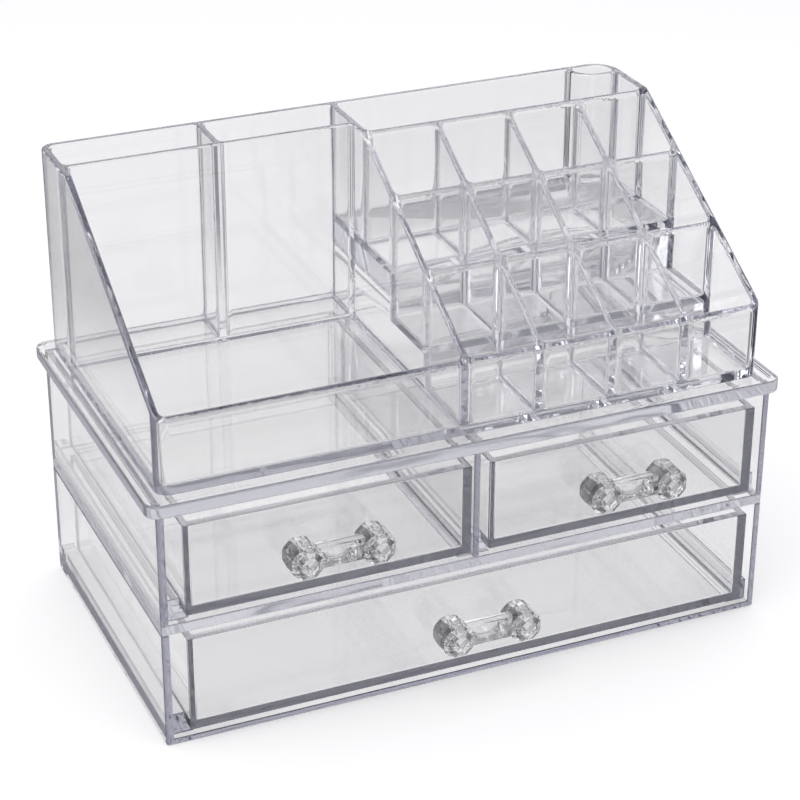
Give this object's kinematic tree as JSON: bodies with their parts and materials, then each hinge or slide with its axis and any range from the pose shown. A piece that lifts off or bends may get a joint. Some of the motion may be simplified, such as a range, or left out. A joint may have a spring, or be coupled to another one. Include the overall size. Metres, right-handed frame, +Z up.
{
  "type": "makeup organizer",
  "caption": "Clear plastic makeup organizer: drawer case with gem-knob handles under a lift-off tray with brush bins, an open compartment, a stepped lipstick rack and a pen tube.",
  "frame": {"origin": "centre of the case's underside", "axes": "+Z up, +X along the width to the right seen from the front, drawers open along -Y"},
  "size_m": [0.24, 0.1516, 0.175],
  "materials": {
    "clear_plastic": "gloss",
    "gem_plastic": "gloss"
  },
  "bodies": {
    "case": {"lower_shell": "clear_plastic", "middle_shelf": "clear_plastic", "upper_shell": "clear_plastic", "drawer_divider": "clear_plastic", "top_plate": "clear_plastic"},
    "left_drawer_body": {"left_drawer": "clear_plastic", "left_drawer_bar": "gem_plastic", "left_drawer_knob_a": "gem_plastic", "left_drawer_knob_b": "gem_plastic"},
    "right_drawer_body": {"right_drawer": "clear_plastic", "right_drawer_bar": "gem_plastic", "right_drawer_knob_a": "gem_plastic", "right_drawer_knob_b": "gem_plastic"},
    "lower_drawer_body": {"lower_drawer": "clear_plastic", "lower_drawer_bar": "gem_plastic", "lower_drawer_knob_a": "gem_plastic", "lower_drawer_knob_b": "gem_plastic"},
    "tray": {"tray_shell": "clear_plastic", "brush_bin_front_wall": "clear_plastic", "brush_bin_divider": "clear_plastic", "rack_side_wall": "clear_plastic", "rack_top_floor": "clear_plastic", "rack_middle_floor": "clear_plastic", "rack_back_cross_wall": "clear_plastic", "rack_middle_cross_wall": "clear_plastic", "rack_front_cross_wall": "clear_plastic", "rack_column_walls": "clear_plastic", "pen_tube": "clear_plastic"}
  },
  "joints": [
    {"name": "left_drawer_slide", "type": "slide", "parent": "case", "child": "left_drawer_body", "axis": [0, -1, 0], "range_m": [0, 0.1]},
    {"name": "right_drawer_slide", "type": "slide", "parent": "case", "child": "right_drawer_body", "axis": [0, -1, 0], "range_m": [0, 0.1]},
    {"name": "lower_drawer_slide", "type": "slide", "parent": "case", "child": "lower_drawer_body", "axis": [0, -1, 0], "range_m": [0, 0.1]},
    {"name": "tray_lift", "type": "slide", "parent": "case", "child": "tray", "axis": [0, 0, 1], "range_m": [0, 0.09]}
  ]
}
